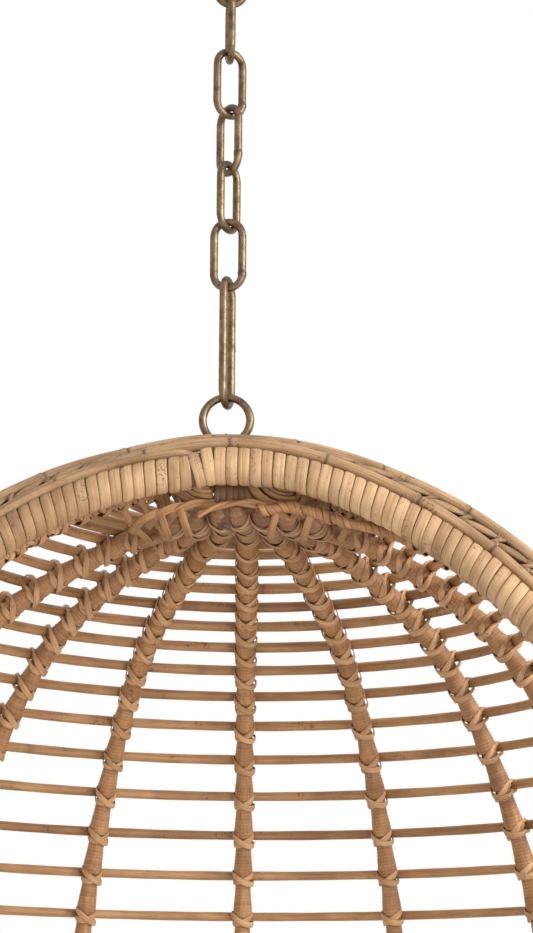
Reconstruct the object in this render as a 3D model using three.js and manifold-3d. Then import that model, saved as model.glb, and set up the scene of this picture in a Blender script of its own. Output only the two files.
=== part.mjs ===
// A hanging egg chair of rattan, on a steel chain below a ceiling swivel.
// Millimetres, +Z up. The origin is the middle of the ceiling plate's top face, and the sitter faces -Y.
import * as THREE from 'three';
import Module from 'manifold-3d';
import { mergeVertices } from 'three/addons/utils/BufferGeometryUtils.js';

const wasm = await Module();
wasm.setup();

// ---- Driving dimensions ----
const GAP = 0.3;               // play between pieces that touch
const DEG = Math.PI / 180;
const CUT_PAST = 1;            // how far a drill runs past the faces that it cuts

const PLATE_R = 48;            // ceiling plate
const PLATE_T = 6;
const SCREW_CIRCLE_R = 36;
const SCREW_R = 2.5;
const SCREW_HEAD_R = 5;
const SCREW_HEAD_T = 3;
const SCREW_LENGTH = 45;
const SCREW_COUNT = 4;

const CUP_R = 19;              // swivel cup below the plate
const CUP_WALL = 3;
const CUP_DEPTH = 24;
const CUP_CHAMFER = 4;
const STEM_R = 5;
const STEM_HEAD_R = 10;
const STEM_HEAD_T = 6;
const STEM_IN_WIRE = 2;        // how far the stem runs into the hook's bent wire

const HOOK_WIRE = 9;           // open hook that carries the chain
const HOOK_R = 15;
const HOOK_BOTTOM = 78;        // wire centre below the ceiling
const HOOK_MOUTH = 50 * DEG;   // how far round the open side the hook's tip reaches above level

const CHAIN_WIRE = 8.6;
const ARC_STEPS = 10;          // facets round each end of a link
const LINK_WIDTH = 38.6;
const LINK_LENGTH = 82.2;
const LONG_LINK_LENGTH = 146;
const RING_OD = 58;
const LINK_TURNS = [8, 98, 29, -48, 58, -4];   // each link's turn about the chain, in degrees
const LONG_LINK_TURN = 76;

const EYE_WIRE = 6;            // eye bolt in the top of the shell
const EYE_R = 7.5;
const BOLT_R = 4;
const BOLT_LENGTH = 82;
const WASHER_R = 12;
const WASHER_T = 2;
const NUT_R = 7.5;
const NUT_T = 6.5;

const HOOP_HALF_WIDTH = 480;   // front hoop, along its centre line
const HOOP_UPPER = 650;        // from its top down to its widest
const HOOP_LOWER = 480;        // from there to its bottom
const HOOP_LEAN = 0.175;       // forward lean of the hoop's foot, per unit of drop
const HOOP_R = 18;
const HOOP_X = -4;             // the hoop's middle, from the chain
const SHELL_HOOP_BACK = 42;    // shell hoop behind the front hoop
const SHELL_HOOP_R = 11;
const RING_TO_HOOP = 40.9;     // ring's lower wire above the front hoop's top centre

// Edge poles: radius, then reach outside the hoop's centre line and set-back, at the top and at the sides.
const POLES = [
  { name: 'edge_pole_front', r: 7.5, top: [26.2, 3.5], side: [27, 8] },
  { name: 'edge_pole_middle', r: 7.5, top: [29, 18.5], side: [46, 26] },
  { name: 'edge_pole_back', r: 5, top: [26, 54], side: [56, 46] },
];
const LACING = { name: 'edge_lacing', r: 2.2, top: [36, 9.5], side: [38, 16] };
const POLE_SPREAD = 42 * DEG;  // angle round the hoop by which the poles have spread to their side places

const SHELL_OFFSET = 18;       // rods' centre line outside the hoop's centre line
const SHELL_AXIS_TOP = 87;     // the ribs' axis behind the hoop, at the top and at the bottom
const SHELL_AXIS_BOTTOM = 50;
const SHELL_SHIFT = 24;        // sideways shift of the shell's crown, from hand bending
const SHIFT_FADE = [450, 650];   // the drop at which that shift starts to fade, and over how much it fades
const CROWN_RATIO = 1.13;      // width over depth of the shell's crown
const EDGE_HOLD = 8;           // how sharply the sideways shift dies out at the shell's edge
const BACK_PROFILE = [         // the shell's middle line, from the hub over the back to the foot: depth, height
  [121, -8], [190, -13], [240, -23], [281, -43], [344, -96], [401, -168], [438, -238], [469, -325],
  [486, -416], [488, -500], [476, -620], [438, -751], [364, -889], [254, -1003], [120, -1085],
  [-10, -1124], [-80, -1137], [-125, -1141],
];

const RIB_R = 8;
const RIB_START = 16;          // ribs' upper ends, along the back profile from its start
const RIB_INSET = 15.2;        // ribs' centre line inside the rods' centre line
const RIBS = {                 // each rib's angle round the shell in degrees, at the hub and over the back
  rib_centre: [0, -2], rib_left_1: [-22.5, -25.5], rib_right_1: [22.5, 20.5], rib_left_2: [-45, -48.5],
  rib_right_2: [45, 44.5], rib_left_3: [-67.5, -68], rib_right_3: [67.5, 67.5],
};
const RIB_FAN = 60;            // run over which the ribs leave their even spacing at the hub
const RIB_PINCH = 0.3;         // share by which they then run closer together
const RIB_PINCH_FADE = 285;    // run over which that pinch is lost

const ROD_R_TOP = 6;
const ROD_R_LOW = 4.8;
const ROD_FIRST = 140;         // first rod, along the back profile from the hub
const ROD_PITCH_TOP = 27;
const ROD_PITCH_LOW = 47;
const RODS_UPPER = 19;         // every rod down to here is a node, and every second one below
const ROD_FRONT = 24;          // rods end this far behind the front hoop's centre line
const ROD_PITCH_FADE = [4, 8]; // the rod at which the pitch starts to widen, and over how many rods
const ROD_BEND_SHARE = 0.92;   // share of a rod that bends round the shell; its ends are straight

const HUB_R = 41;
const HUB_FRONT = 26;
const HUB_TOP = -18;
const HUB_BOTTOM = -38;

// Facets round each section, and along each curve.
const FACETS = { plate: 32, post: 20, screw: 8, stem: 16, bolt: 16, eye: 10, wire: 8, hoop: 8, cane: 6,
  lacing: 4 };
const STEPS = { hook: 16, ring: 24, eye: 20, rim: 40, lacing: 48, rib: 24, rod: 16, hub: 16 };

// ---- Materials ----
const bronze = (tone) => new THREE.MeshStandardMaterial({ color: tone, roughness: 0.42, metalness: 1 });
const cane = (tone) => new THREE.MeshStandardMaterial({ color: tone, roughness: 0.7, metalness: 0 });
const BRONZE = 0x8a6a43;
const STEEL = 0x9a958c;
const LIGHT_CANE = 0xcda878;
const RIB_CANE = 0xb98d5c;
const ROD_CANE = 0xa87b4e;

// ---- Helpers ----
const group = new THREE.Group();
const smooth = (t) => THREE.MathUtils.smoothstep(t, 0, 1);
const mix = THREE.MathUtils.lerp;

function addMesh(parent, name, geometry, material) {
  const mesh = new THREE.Mesh(geometry, material);
  mesh.name = name;
  parent.add(mesh);
  return mesh;
}

// A curve given by a formula, whose section is kept square to a fixed direction all the way along.
class FramedCurve extends THREE.Curve {
  constructor(formula, across) {
    super();
    this.formula = formula;
    this.across = across;
  }

  getPoint(t, target = new THREE.Vector3()) {
    return target.copy(this.formula(t));
  }

  get isLoop() {
    return this.getPoint(0).distanceTo(this.getPoint(1)) < 1e-6;
  }

  seamTangent() {
    const step = 1e-4;
    return this.getPoint(step).sub(this.getPoint(1 - step)).normalize();
  }

  computeFrenetFrames(segments) {
    const frames = { tangents: [], normals: [], binormals: [] };
    for (let i = 0; i <= segments; i += 1) {
      const seam = this.isLoop && i % segments === 0;
      const tangent = seam ? this.seamTangent() : this.getTangentAt(i / segments);
      const normal = this.across.clone().cross(tangent).normalize();
      frames.tangents.push(tangent);
      frames.normals.push(normal);
      frames.binormals.push(tangent.clone().cross(normal));
    }
    return frames;
  }
}

function roundSection(radius, sides) {
  const points = [];
  for (let i = 0; i < sides; i += 1) {
    const angle = (i + 0.5) / sides * 2 * Math.PI;
    points.push(new THREE.Vector2(radius * Math.cos(angle), radius * Math.sin(angle)));
  }
  return new THREE.Shape(points);
}

function positionsOnly(geometry) {
  const bare = geometry.clone();
  bare.deleteAttribute('normal');
  bare.deleteAttribute('uv');
  return mergeVertices(bare, 1e-3);
}

// An open tube with flat ends.
function tube(curve, radius, sides, steps) {
  const section = roundSection(radius, sides);
  return new THREE.ExtrudeGeometry(section, { extrudePath: curve, steps, bevelEnabled: false });
}

// A tube that closes on itself: the two end faces are left out and the seam is joined.
function loop(curve, radius, sides, steps) {
  const whole = tube(curve, radius, sides, steps);
  const walls = whole.groups[1];
  const position = whole.getAttribute('position').array;
  const ring = new THREE.BufferGeometry();
  const kept = position.slice(walls.start * 3, (walls.start + walls.count) * 3);
  ring.setAttribute('position', new THREE.BufferAttribute(kept, 3));
  return mergeVertices(ring, 1e-3);
}

function toSolid(geometry) {
  const merged = positionsOnly(geometry);
  const mesh = new wasm.Mesh({
    numProp: 3,
    vertProperties: merged.getAttribute('position').array,
    triVerts: new Uint32Array(merged.index.array),
  });
  return new wasm.Manifold(mesh);
}

function toGeometry(solid) {
  const mesh = solid.getMesh();
  const geometry = new THREE.BufferGeometry();
  geometry.setAttribute('position', new THREE.BufferAttribute(mesh.vertProperties, 3));
  geometry.setIndex(new THREE.BufferAttribute(mesh.triVerts, 1));
  return geometry;
}

// A cylinder standing along Z between two heights.
function post(radius, bottom, top, x = 0, y = 0, sides = FACETS.post) {
  const cylinder = new THREE.CylinderGeometry(radius, radius, top - bottom, sides);
  cylinder.rotateX(Math.PI / 2);
  cylinder.translate(x, y, (top + bottom) / 2);
  return cylinder;
}

// ---- Ceiling fitting ----
function ceilingPlate() {
  let plate = toSolid(post(PLATE_R, -PLATE_T, 0, 0, 0, FACETS.plate));
  for (let i = 0; i < SCREW_COUNT; i += 1) {
    const [x, y] = screwPlace(i);
    plate = plate.subtract(toSolid(post(SCREW_R + GAP, -PLATE_T - CUT_PAST, CUT_PAST, x, y, FACETS.screw)));
  }
  return toGeometry(plate);
}

function screwPlace(i) {
  const angle = (i + 0.5) / SCREW_COUNT * 2 * Math.PI;
  return [SCREW_CIRCLE_R * Math.cos(angle), SCREW_CIRCLE_R * Math.sin(angle)];
}

function ceilingScrew() {
  const under = -PLATE_T - GAP;
  const outline = [[0, under - SCREW_HEAD_T], [SCREW_HEAD_R * 0.6, under - SCREW_HEAD_T],
    [SCREW_HEAD_R, under - SCREW_HEAD_T * 0.4], [SCREW_HEAD_R, under], [SCREW_R, under],
    [SCREW_R, under + SCREW_LENGTH - SCREW_R * 2], [0, under + SCREW_LENGTH]];
  return turned(outline, FACETS.screw);
}

function turned(outline, sides) {
  const lathe = new THREE.LatheGeometry(outline.map(([r, z]) => new THREE.Vector2(r, z)), sides);
  lathe.rotateX(Math.PI / 2);
  return positionsOnly(lathe);
}

function swivelCup() {
  const top = -PLATE_T - GAP;
  const bottom = top - CUP_DEPTH;
  const inner = CUP_R - CUP_WALL;
  return turned([[STEM_R + GAP, bottom], [CUP_R - CUP_CHAMFER, bottom], [CUP_R, bottom + CUP_CHAMFER],
    [CUP_R, top], [inner, top], [inner, bottom + CUP_WALL], [STEM_R + GAP, bottom + CUP_WALL],
    [STEM_R + GAP, bottom]], FACETS.post);
}

function swivelHook() {
  const seat = -PLATE_T - CUP_DEPTH + CUP_WALL;
  const foot = -HOOK_BOTTOM + 2 * HOOK_R - STEM_IN_WIRE;
  const stem = turned([[0, foot], [STEM_R, foot], [STEM_R, seat], [STEM_HEAD_R, seat],
    [STEM_HEAD_R, seat + STEM_HEAD_T], [0, seat + STEM_HEAD_T]], FACETS.stem);
  const span = Math.PI + HOOK_MOUTH;
  const bend = (t) => {
    const angle = Math.PI / 2 + t * span;
    const centre = -HOOK_BOTTOM + HOOK_R;
    return new THREE.Vector3(HOOK_R * Math.cos(angle), 0, centre + HOOK_R * Math.sin(angle));
  };
  const wire = tube(new FramedCurve(bend, new THREE.Vector3(0, 1, 0)), HOOK_WIRE / 2, FACETS.wire, STEPS.hook);
  return toGeometry(toSolid(stem).add(toSolid(wire)));
}

// ---- Chain ----
// The centre line of a link in the XZ plane: two half circles joined by straight sides. Its stations are
// the arcs' own, so that every arc has a corner at its lowest or highest point.
class LinkCurve extends FramedCurve {
  constructor(width, length) {
    super((t) => LinkCurve.station(t, width / 2, (length - width) / 2), new THREE.Vector3(0, 1, 0));
  }

  static station(t, radius, side) {
    const steps = t * 2 * (ARC_STEPS + 1);
    const half = steps <= ARC_STEPS + 1 ? 1 : -1;
    const along = half > 0 ? steps : steps - ARC_STEPS - 1;
    const angle = Math.min(along, ARC_STEPS) / ARC_STEPS * Math.PI;
    const down = Math.max(0, along - ARC_STEPS) * 2 * side;
    const z = side + radius * Math.sin(angle) - down;
    return new THREE.Vector3(half * radius * Math.cos(angle), 0, half * z);
  }

  getUtoTmapping(u) {
    return u;
  }
}

function chainLink(width, length) {
  const line = new LinkCurve(width - CHAIN_WIRE, length - CHAIN_WIRE);
  return loop(line, CHAIN_WIRE / 2, FACETS.wire, 2 * (ARC_STEPS + 1));
}

function hangerRing(width) {
  const radius = (width - CHAIN_WIRE) / 2;
  const circle = (t) => {
    const angle = 2 * Math.PI * t;
    return new THREE.Vector3(radius * Math.cos(angle), 0, radius * Math.sin(angle));
  };
  const line = new FramedCurve(circle, new THREE.Vector3(0, 1, 0));
  return loop(line, CHAIN_WIRE / 2, FACETS.wire, STEPS.ring);
}

// Adds the links one below the other and returns the height of the ring's lower wire.
function addChain() {
  const step = CHAIN_WIRE + GAP;
  const pieces = LINK_TURNS.map((turn, i) => ({ name: `chain_link_${i + 1}`, turn, width: LINK_WIDTH,
    length: LINK_LENGTH }));
  pieces.push({ name: 'long_link', turn: LONG_LINK_TURN, width: LINK_WIDTH, length: LONG_LINK_LENGTH });
  pieces.push({ name: 'hanger_ring', turn: 0, width: RING_OD, length: RING_OD });
  let wire = -HOOK_BOTTOM + (HOOK_WIRE + CHAIN_WIRE) / 2 + GAP;
  for (const piece of pieces) {
    const reach = piece.length - CHAIN_WIRE;
    const isRing = piece.width === piece.length;
    const shape = isRing ? hangerRing(piece.width) : chainLink(piece.width, piece.length);
    const mesh = addMesh(group, piece.name, shape, bronze(BRONZE));
    mesh.position.z = wire - reach / 2;
    mesh.rotation.z = piece.turn * DEG;
    wire += step - reach;
  }
  return wire - step;
}

// ---- Front hoop and edge poles, in the chair's own frame: origin at the front hoop's top centre ----
// A point of the rim at an angle from its top, moved outwards in the hoop's plane and back along Y.
function rimPoint(angle, out, back) {
  const upper = Math.cos(angle) > 0 ? HOOP_UPPER : HOOP_LOWER;
  const x = (HOOP_HALF_WIDTH + out) * Math.sin(angle);
  const z = (upper + out) * Math.cos(angle) - HOOP_UPPER;
  return new THREE.Vector3(HOOP_X + x, HOOP_LEAN * z + back, z);
}

function rimLoop(radius, sides, steps, top, side) {
  const line = (t) => {
    const angle = 2 * Math.PI * t;
    const turn = Math.min(angle, 2 * Math.PI - angle);
    const spread = smooth(turn / POLE_SPREAD);
    return rimPoint(angle, mix(top[0], side[0], spread), mix(top[1], side[1], spread));
  };
  return loop(new FramedCurve(line, new THREE.Vector3(0, 1, 0)), radius, sides, steps);
}

// ---- Shell surface, on which the rods' centre lines lie ----
const backProfile = new THREE.SplineCurve(BACK_PROFILE.map(([y, z]) => new THREE.Vector2(y, z)));
backProfile.arcLengthDivisions = 600;

function axisBack(z) {
  const drop = smooth((-z - HOOP_UPPER) / HOOP_LOWER);
  return HOOP_LEAN * z + mix(SHELL_AXIS_TOP, SHELL_AXIS_BOTTOM, drop);
}

function halfWidth(z, depth) {
  const upper = z > -HOOP_UPPER ? HOOP_UPPER : HOOP_LOWER;
  const ratio = Math.min(1, Math.abs(z + HOOP_UPPER) / (upper + SHELL_OFFSET));
  const rim = (HOOP_HALF_WIDTH + SHELL_OFFSET) * Math.sqrt(1 - ratio * ratio);
  return z > -HOOP_UPPER ? Math.min(rim, CROWN_RATIO * depth) : rim;
}

// u runs down the back profile from 0 to 1, and phi round the shell from the left edge to the right.
function shellPoint(u, phi) {
  const line = backProfile.getPointAt(THREE.MathUtils.clamp(u, 0, 1));
  const z = line.y;
  const axis = axisBack(z);
  const depth = line.x - axis;
  const held = Math.abs(Math.sin(phi)) ** EDGE_HOLD * smooth((depth - HUB_R) / (2 * HUB_R));
  const shift = SHELL_SHIFT * (1 - smooth((-z - SHIFT_FADE[0]) / SHIFT_FADE[1])) * (1 - held);
  const x = HOOP_X + halfWidth(z, depth) * Math.sin(phi) + shift;
  return new THREE.Vector3(x, axis + depth * Math.cos(phi), z);
}

function shellNormal(u, phi) {
  const step = 0.004;
  const along = shellPoint(u + step, phi).sub(shellPoint(u - step, phi));
  const around = shellPoint(u, phi + step).sub(shellPoint(u, phi - step));
  return around.cross(along).normalize().negate();
}

// A rib leaves the hub at its first angle, runs pinched over the crown and opens to its second angle.
function rib([atHub, overBack]) {
  const length = backProfile.getLength();
  const line = (t) => {
    const run = mix(RIB_START, length, t) - RIB_START;
    const pinch = RIB_PINCH * (1 - smooth(run / RIB_PINCH_FADE));
    const phi = mix(atHub, overBack * (1 - pinch), smooth(run / RIB_FAN)) * DEG;
    const u = (run + RIB_START) / length;
    return shellPoint(u, phi).addScaledVector(shellNormal(u, phi), -RIB_INSET);
  };
  const across = new THREE.Vector3(Math.cos(overBack * DEG), -Math.sin(overBack * DEG), 0);
  return tube(new FramedCurve(line, across), RIB_R, FACETS.cane, STEPS.rib);
}

// A rod runs level round the shell, from the left end of the rim to the right, with straight ends.
function rod(u, radius) {
  const line = backProfile.getPointAt(u);
  const axis = axisBack(line.y);
  const straight = axis - (HOOP_LEAN * line.y + ROD_FRONT);
  const path = (t) => {
    const s = (2 * t - 1) / ROD_BEND_SHARE;
    const phi = THREE.MathUtils.clamp(s, -1, 1) * Math.PI / 2;
    const point = shellPoint(u, phi);
    const beyond = Math.max(0, Math.abs(s) - 1) / (1 / ROD_BEND_SHARE - 1);
    point.y -= straight * beyond;
    return point;
  };
  return tube(new FramedCurve(path, new THREE.Vector3(0, 0, 1)), radius, FACETS.cane, STEPS.rod);
}

// The rods' places along the back profile, closer together at the crown.
function rodPlaces() {
  const total = backProfile.getLength();
  const places = [];
  const [from, over] = ROD_PITCH_FADE;
  let run = ROD_FIRST;
  while (run < total - ROD_PITCH_LOW / 2) {
    places.push(run / total);
    run += mix(ROD_PITCH_TOP, ROD_PITCH_LOW, smooth((places.length - from) / over));
  }
  return places;
}

function addRods(chair) {
  rodPlaces().forEach((u, i) => {
    const inBetween = i >= RODS_UPPER && (i - RODS_UPPER) % 2 === 0;
    if (inBetween) return;
    const radius = mix(ROD_R_TOP, ROD_R_LOW, smooth(i / RODS_UPPER));
    const number = String(i + 1).padStart(2, '0');
    addMesh(chair, `rod_${number}`, rod(u, radius), cane(ROD_CANE));
  });
}

// ---- Crown ----
function eyeBolt() {
  const eyeTop = RING_TO_HOOP + (CHAIN_WIRE + EYE_WIRE) / 2 + GAP;
  const centre = eyeTop - EYE_R;
  const circle = (t) => {
    const angle = 2 * Math.PI * t;
    return new THREE.Vector3(0, EYE_R * Math.cos(angle), centre + EYE_R * Math.sin(angle));
  };
  const eye = loop(new FramedCurve(circle, new THREE.Vector3(1, 0, 0)), EYE_WIRE / 2, FACETS.eye, STEPS.eye);
  const shank = post(BOLT_R, centre - EYE_R - BOLT_LENGTH, centre - EYE_R, 0, 0, FACETS.bolt);
  return toGeometry(toSolid(eye).add(toSolid(shank)));
}

function drilled(geometry) {
  const [from, to] = [HUB_BOTTOM - CUT_PAST, SHELL_HOOP_R + CUT_PAST];
  const drill = post(BOLT_R + GAP, from, to, 0, SHELL_HOOP_BACK, FACETS.bolt);
  return toGeometry(toSolid(geometry).subtract(toSolid(drill)));
}

function crownHub() {
  const outline = new THREE.Shape();
  const x = HOOP_X + SHELL_SHIFT;
  outline.moveTo(x - HUB_R, HUB_FRONT);
  outline.lineTo(x + HUB_R, HUB_FRONT);
  outline.absarc(x, SHELL_AXIS_TOP, HUB_R, 0, Math.PI, false);
  outline.closePath();
  const block = new THREE.ExtrudeGeometry(outline, { depth: HUB_TOP - HUB_BOTTOM, bevelEnabled: false,
    curveSegments: STEPS.hub });
  block.translate(0, 0, HUB_BOTTOM);
  return drilled(block);
}

function washer() {
  const top = HUB_BOTTOM - GAP;
  const bore = BOLT_R + GAP;
  return turned([[bore, top - WASHER_T], [WASHER_R, top - WASHER_T], [WASHER_R, top], [bore, top],
    [bore, top - WASHER_T]], FACETS.post);
}

function nut() {
  const top = HUB_BOTTOM - WASHER_T - 2 * GAP;
  const hexagon = toSolid(post(NUT_R, top - NUT_T, top, 0, 0, 6));
  const bore = post(BOLT_R + GAP, top - NUT_T - CUT_PAST, top + CUT_PAST, 0, 0, FACETS.bolt);
  return toGeometry(hexagon.subtract(toSolid(bore)));
}

// ---- Assembly ----
function addCeilingFitting() {
  addMesh(group, 'ceiling_plate', ceilingPlate(), bronze(BRONZE));
  for (let i = 0; i < SCREW_COUNT; i += 1) {
    const screw = addMesh(group, `ceiling_screw_${i + 1}`, ceilingScrew(), bronze(BRONZE));
    const [x, y] = screwPlace(i);
    screw.position.set(x, y, 0);
  }
  addMesh(group, 'swivel_cup', swivelCup(), bronze(BRONZE));
  const hook = addMesh(group, 'swivel_hook', swivelHook(), bronze(BRONZE));
  hook.rotation.z = Math.PI / 2;
}

function addChair(ringWire) {
  const chair = new THREE.Group();
  chair.position.set(0, -SHELL_HOOP_BACK, ringWire - RING_TO_HOOP);
  group.add(chair);

  for (const [name, build] of [['eye_bolt', eyeBolt], ['eye_bolt_washer', washer], ['eye_bolt_nut', nut]]) {
    const mesh = addMesh(chair, name, build(), bronze(name === 'eye_bolt' ? BRONZE : STEEL));
    mesh.position.y = SHELL_HOOP_BACK;
  }
  addMesh(chair, 'crown_hub', crownHub(), cane(RIB_CANE));

  addMesh(chair, 'front_hoop', rimLoop(HOOP_R, FACETS.hoop, STEPS.rim, [0, 0], [0, 0]), cane(LIGHT_CANE));
  const back = [0, SHELL_HOOP_BACK];
  const shellHoop = rimLoop(SHELL_HOOP_R, FACETS.cane, STEPS.rim, back, back);
  addMesh(chair, 'shell_hoop', drilled(shellHoop), cane(RIB_CANE));
  for (const pole of POLES) {
    addMesh(chair, pole.name, rimLoop(pole.r, FACETS.cane, STEPS.rim, pole.top, pole.side), cane(LIGHT_CANE));
  }
  const lacing = rimLoop(LACING.r, FACETS.lacing, STEPS.lacing, LACING.top, LACING.side);
  addMesh(chair, LACING.name, lacing, cane(RIB_CANE));

  for (const [name, angles] of Object.entries(RIBS)) {
    addMesh(chair, name, rib(angles), cane(RIB_CANE));
  }
  addRods(chair);
}

addCeilingFitting();
addChair(addChain());

export default group;
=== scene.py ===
import math

import bpy
import numpy as np
from mathutils import Matrix


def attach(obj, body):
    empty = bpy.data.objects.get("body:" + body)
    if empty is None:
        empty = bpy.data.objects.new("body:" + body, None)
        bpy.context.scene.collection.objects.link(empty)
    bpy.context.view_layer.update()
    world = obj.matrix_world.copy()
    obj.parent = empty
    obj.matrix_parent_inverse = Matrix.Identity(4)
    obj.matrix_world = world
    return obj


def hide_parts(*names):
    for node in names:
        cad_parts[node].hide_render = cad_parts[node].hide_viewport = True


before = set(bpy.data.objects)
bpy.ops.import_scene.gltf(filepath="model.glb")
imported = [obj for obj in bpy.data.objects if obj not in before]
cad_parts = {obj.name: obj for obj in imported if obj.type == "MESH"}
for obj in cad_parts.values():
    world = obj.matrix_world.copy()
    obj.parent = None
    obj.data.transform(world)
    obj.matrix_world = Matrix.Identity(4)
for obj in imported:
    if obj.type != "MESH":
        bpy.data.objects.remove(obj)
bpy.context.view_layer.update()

# Sizes of the chair are in its own frame, whose origin is the front hoop's top centre.
CHAIR = np.array([0.0, -42.0, -675.9])
RIM_X = -4.0  # middle of the hoops
# The front hoop: half its width, its height above and below its widest place, forward lean per unit of drop.
HALF_WIDTH, UPPER, LOWER, LEAN = 480.0, 650.0, 480.0, 0.175
CROWN_LIFT = 6.0  # rise of the hoop and poles at the crown
HOOP_BACK = 42.0  # shell hoop behind the front hoop
RIM_POINTS = 1600

AXIS_TOP, AXIS_BOTTOM = 87.0, 50.0  # the ribs' axis behind the hoop, at the top and at the bottom
SHELL_OUT = 18.0  # rods' middle lines outside the hoop's
CROWN_RATIO = 1.13  # width over depth of the shell's crown
CROWN_SHIFT = 24.0  # sideways shift of the crown, from hand bending
SHIFT_FROM, SHIFT_OVER = 450.0, 650.0  # the drop at which that shift starts to fade, and over how much
EDGE_HOLD = 8  # how sharply the shift dies out at the shell's edge
HUB_R = 41.0  # radius of the CAD's hub
# The shell's middle line, from the hub over the back to the foot: depth, height.
BACK = np.array([(121, -8), (190, -13), (240, -23), (281, -43), (344, -96), (401, -168), (438, -238),
                 (469, -325), (486, -416), (488, -500), (476, -620), (438, -751), (364, -889), (254, -1003),
                 (120, -1085), (-10, -1124), (-80, -1137), (-125, -1141)], float)

RIB_START, RIB_INSET = 16.0, 15.2  # ribs' start along that line, and their depth inside the rods
RIB_FAN, RIB_PINCH, RIB_PINCH_FADE = 60.0, 0.3, 285.0
RIB_R_TOP, RIB_R_LOW = 11.6, 10.3
RIB_SIDES, WINDING_PITCH = 14, 3.7
BLUNT = 9.0  # length over which a rib's end is rounded
# Each rib's angle round the shell in degrees, at the hub and over the back.
RIBS = {"rib_centre": (0, -2), "rib_left_1": (-22.5, -25.5), "rib_right_1": (22.5, 20.5),
        "rib_left_2": (-45, -48.5), "rib_right_2": (45, 44.5), "rib_left_3": (-67.5, -68),
        "rib_right_3": (67.5, 67.5)}
# The middles of the ribs' blunt ends under the hub.
RIB_TIPS = {"rib_centre": (11, 29, -25), "rib_left_1": (-5, 31, -26), "rib_right_1": (36, 32, -25),
            "rib_left_2": (-30, 44, -27), "rib_right_2": (60, 46, -26), "rib_left_3": (-52, 58, -25),
            "rib_right_3": (84, 60, -25)}

ROD_COUNT, ROD_FIRST = 35, 140.0  # the first rod's place is along the shell's middle line
ROD_PITCH_TOP, ROD_PITCH_LOW = 27, 47
ROD_TOP, ROD_LOW = 6.0, 4.8  # radii
ROD_BEND = 0.92  # share of a rod that bends round the shell; its ends are straight
ROD_FRONT = 24  # rods end this far behind the front hoop
UNTIED = 1  # the crossing, counted from 0 at the hub, that has no tie

# Edge poles: radius, then reach outside the hoop's middle line and set-back, at the top and at the sides.
POLES = {"edge_pole_front": (6.6, (25.5, 4), (24.3, 5)), "edge_pole_middle": (5.8, (34.5, 18), (48.5, 14)),
         "edge_pole_back": (4.4, (26, 54), (57, 43))}
POLE_SPREAD = math.radians(42)  # angle from the crown by which the poles reach their side places
LACING, LEAF_PITCH = ((33, 9), (36.6, 9)), 41
FRONT = np.array([0, -1.0, 0])

WIRE, LINK_WIDTH, LINK_LENGTH, LONG_LENGTH, RING_OD = 8.6, 38.6, 82.2, 146.0, 58.0
WIRE_GAP = 0.3  # room between two wires
WEAR = 0.28  # loss of radius at a link's ends, which keeps swung links clear
LINK_TURNS = [8, 98, 29, -48, 58, -4]
LINK_WELDS = [0.1, -0.12, 0.02, 0.1, -0.1, 0.05]
# The chain from its top: name, body, turn in degrees, weld's place along its side, width, length.
CHAIN = [(f"chain_link_{i}", f"link_{i}", turn, weld, LINK_WIDTH, LINK_LENGTH)
         for i, (turn, weld) in enumerate(zip(LINK_TURNS, LINK_WELDS), 1)]
CHAIN += [("long_link", "long_link_body", 76, 0.28, LINK_WIDTH, LONG_LENGTH),
          ("hanger_ring", "ring", 0, None, RING_OD, RING_OD)]

HOOK_BOTTOM, HOOK_WIRE, HOOK_R = 78.0, 9.0, 15.0
PLATE_R, PLATE_T = 48, 6
CUP_R, CUP_WALL, CUP_DEPTH, CUP_CHAMFER = 19, 3, 24, 4
STEM_R, PLAY = 5, 0.3
SCREW_R, SCREW_HEAD_R, SCREW_HEAD_T, SCREW_POINT = 2.5, 5, 3, 5
SCREW_LENGTH, SCREW_CIRCLE = 45, 36
PIN = 0.05  # radius at which a turned outline is closed on its axis
RING_TO_HOOP, EYE_WIRE, EYE_R = 40.9, 6, 7.5

rng = np.random.default_rng(21)


# ---- Small maths ----
def unit(v):
    return v / np.maximum(np.linalg.norm(v, axis=-1, keepdims=True), 1e-9)


def squared(ref, tangent):
    """The part of ref that stands square to each tangent, at unit length."""
    ref = np.asarray(ref, float)
    return unit(ref - (ref * tangent).sum(-1, keepdims=True) * tangent)


def smooth(t):
    t = np.clip(t, 0, 1)
    return t * t * (3 - 2 * t)


def mix(a, b, t):
    return a + (b - a) * t


def bump(s, at, width):
    return np.exp(-((s - at) / width) ** 2)


def relax(path, times):
    """Smooths a path's inner points, in place."""
    for _ in range(times):
        path[1:-1] = (path[:-2] + 2 * path[1:-1] + path[2:]) / 4
    return path


def lengths_along(path):
    return np.concatenate([[0], np.cumsum(np.linalg.norm(np.diff(path, axis=0), axis=1))])


class Line:
    """A polyline measured along its length, with a single place or many at a time."""

    def __init__(self, points, closed=False):
        points = np.asarray(points, float)
        self.closed = closed
        self.points = np.vstack([points, points[:1]]) if closed else points
        self.run = lengths_along(self.points)
        self.length = self.run[-1]

    def at(self, s):
        s = np.mod(s, self.length) if self.closed else np.clip(s, 0, self.length)
        return np.stack([np.interp(s, self.run, self.points[:, k]) for k in range(3)], -1)

    def tangent(self, s, step=1.5):
        return unit(self.at(s + step) - self.at(s - step))


# ---- Sections and strands ----
def circle(radius, sides):
    a = np.arange(sides) / sides * 2 * math.pi
    return np.stack([radius * np.cos(a), radius * np.sin(a)], -1)


def strip(width, thick):
    """A flat cane strip, rounded at its shoulders, whose face looks along +v."""
    x = np.array([1, 0.98, 0.88, 0.64, 0.24, -0.24, -0.64, -0.88, -0.98, -1]) * width / 2
    y = np.array([0, 0.40, 0.74, 0.94, 1.04, 1.04, 0.94, 0.74, 0.40, 0]) * thick
    return np.stack([x, y], -1)


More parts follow.
